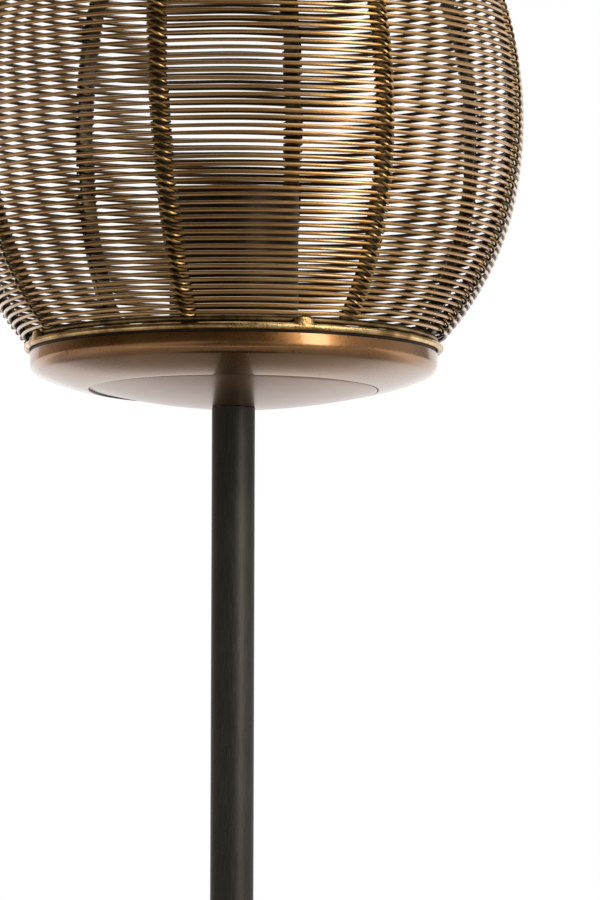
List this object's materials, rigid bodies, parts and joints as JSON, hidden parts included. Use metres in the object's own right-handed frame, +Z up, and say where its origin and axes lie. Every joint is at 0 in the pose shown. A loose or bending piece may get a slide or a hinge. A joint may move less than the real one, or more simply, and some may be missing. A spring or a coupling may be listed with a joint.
{
  "type": "table lamp",
  "caption": "Table lamp with a round weighted base, a slim dark pole and a barrel shade of bronze wire wound round flat ribs, standing on a shallow bronze tray over a cupped lampholder.",
  "frame": {"origin": "centre of the base's resting face, on the table", "axes": "+Z up along the pole, -Y towards the pictured front, +Y towards the mains lead's inlet"},
  "size_m": [0.2218, 0.2218, 0.4817],
  "materials": {
    "wire_bronze": "patinated antique bronze wire, satin",
    "rib_bronze": "dark burnt bronze strip",
    "hoop_bronze": "dark olive bronze wire",
    "ring_brass": "brighter brushed brass wire",
    "tray_bronze": "patinated antique bronze sheet, semi-gloss",
    "pole_bronze": "very dark bronze, satin",
    "cup_bronze": "dark bronze sheet",
    "cast_iron": "raw grey iron",
    "felt": "black felt",
    "zinc_steel": "zinc plated",
    "spring_steel": "drawn spring wire",
    "holder_plastic": "black moulded",
    "porcelain": "white glazed",
    "contact_brass": "bright pressed brass",
    "bush_plastic": "black moulded"
  },
  "bodies": {
    "stem": {"base_cover": "pole_bronze", "base_weight": "cast_iron", "base_felt": "felt", "cord_bush": "bush_plastic", "base_washer": "zinc_steel", "base_nut": "zinc_steel", "foot_nipple": "zinc_steel", "foot_insert": "zinc_steel", "pole": "pole_bronze", "head_insert": "zinc_steel", "head_nipple": "zinc_steel", "tray_disc": "tray_bronze", "tray_bowl": "tray_bronze", "tray_collar": "cup_bronze", "tray_bridge": "zinc_steel", "head_washer": "zinc_steel", "head_nut": "zinc_steel", "socket_cup": "cup_bronze", "holder_dome": "holder_plastic", "holder_body": "holder_plastic", "holder_core": "porcelain", "holder_shell": "contact_brass", "contact_plate": "contact_brass", "contact_spring": "spring_steel", "terminal_screws": "zinc_steel"},
    "shade": {"shade_lower_hoop": "hoop_bronze", "shade_upper_hoop": "hoop_bronze", "shade_foot_ring": "ring_brass", "shade_rib_1": "rib_bronze", "shade_rib_2": "rib_bronze", "shade_rib_3": "rib_bronze", "shade_rib_4": "rib_bronze", "shade_rib_5": "rib_bronze", "shade_rib_6": "rib_bronze", "shade_rib_7": "rib_bronze", "shade_rib_8": "rib_bronze", "shade_foot_1": "ring_brass", "shade_foot_2": "ring_brass", "shade_foot_3": "ring_brass", "shade_foot_4": "ring_brass", "shade_wire_1": "wire_bronze", "shade_wire_2": "wire_bronze", "shade_wire_3": "wire_bronze", "shade_wire_4": "wire_bronze", "shade_wire_5": "wire_bronze", "shade_wire_6": "wire_bronze"},
    "contact": {"centre_contact": "contact_brass"}
  },
  "joints": [
    {"name": "shade_lift", "type": "slide", "parent": "stem", "child": "shade", "axis": [0, 0, 1], "range_m": [0, 0.08]},
    {"name": "centre_contact_press", "type": "slide", "parent": "stem", "child": "contact", "axis": [0, 0, -1], "range_m": [0, 0.0015], "stiffness_N_per_m": 2000, "deforming": ["contact_spring"]}
  ]
}
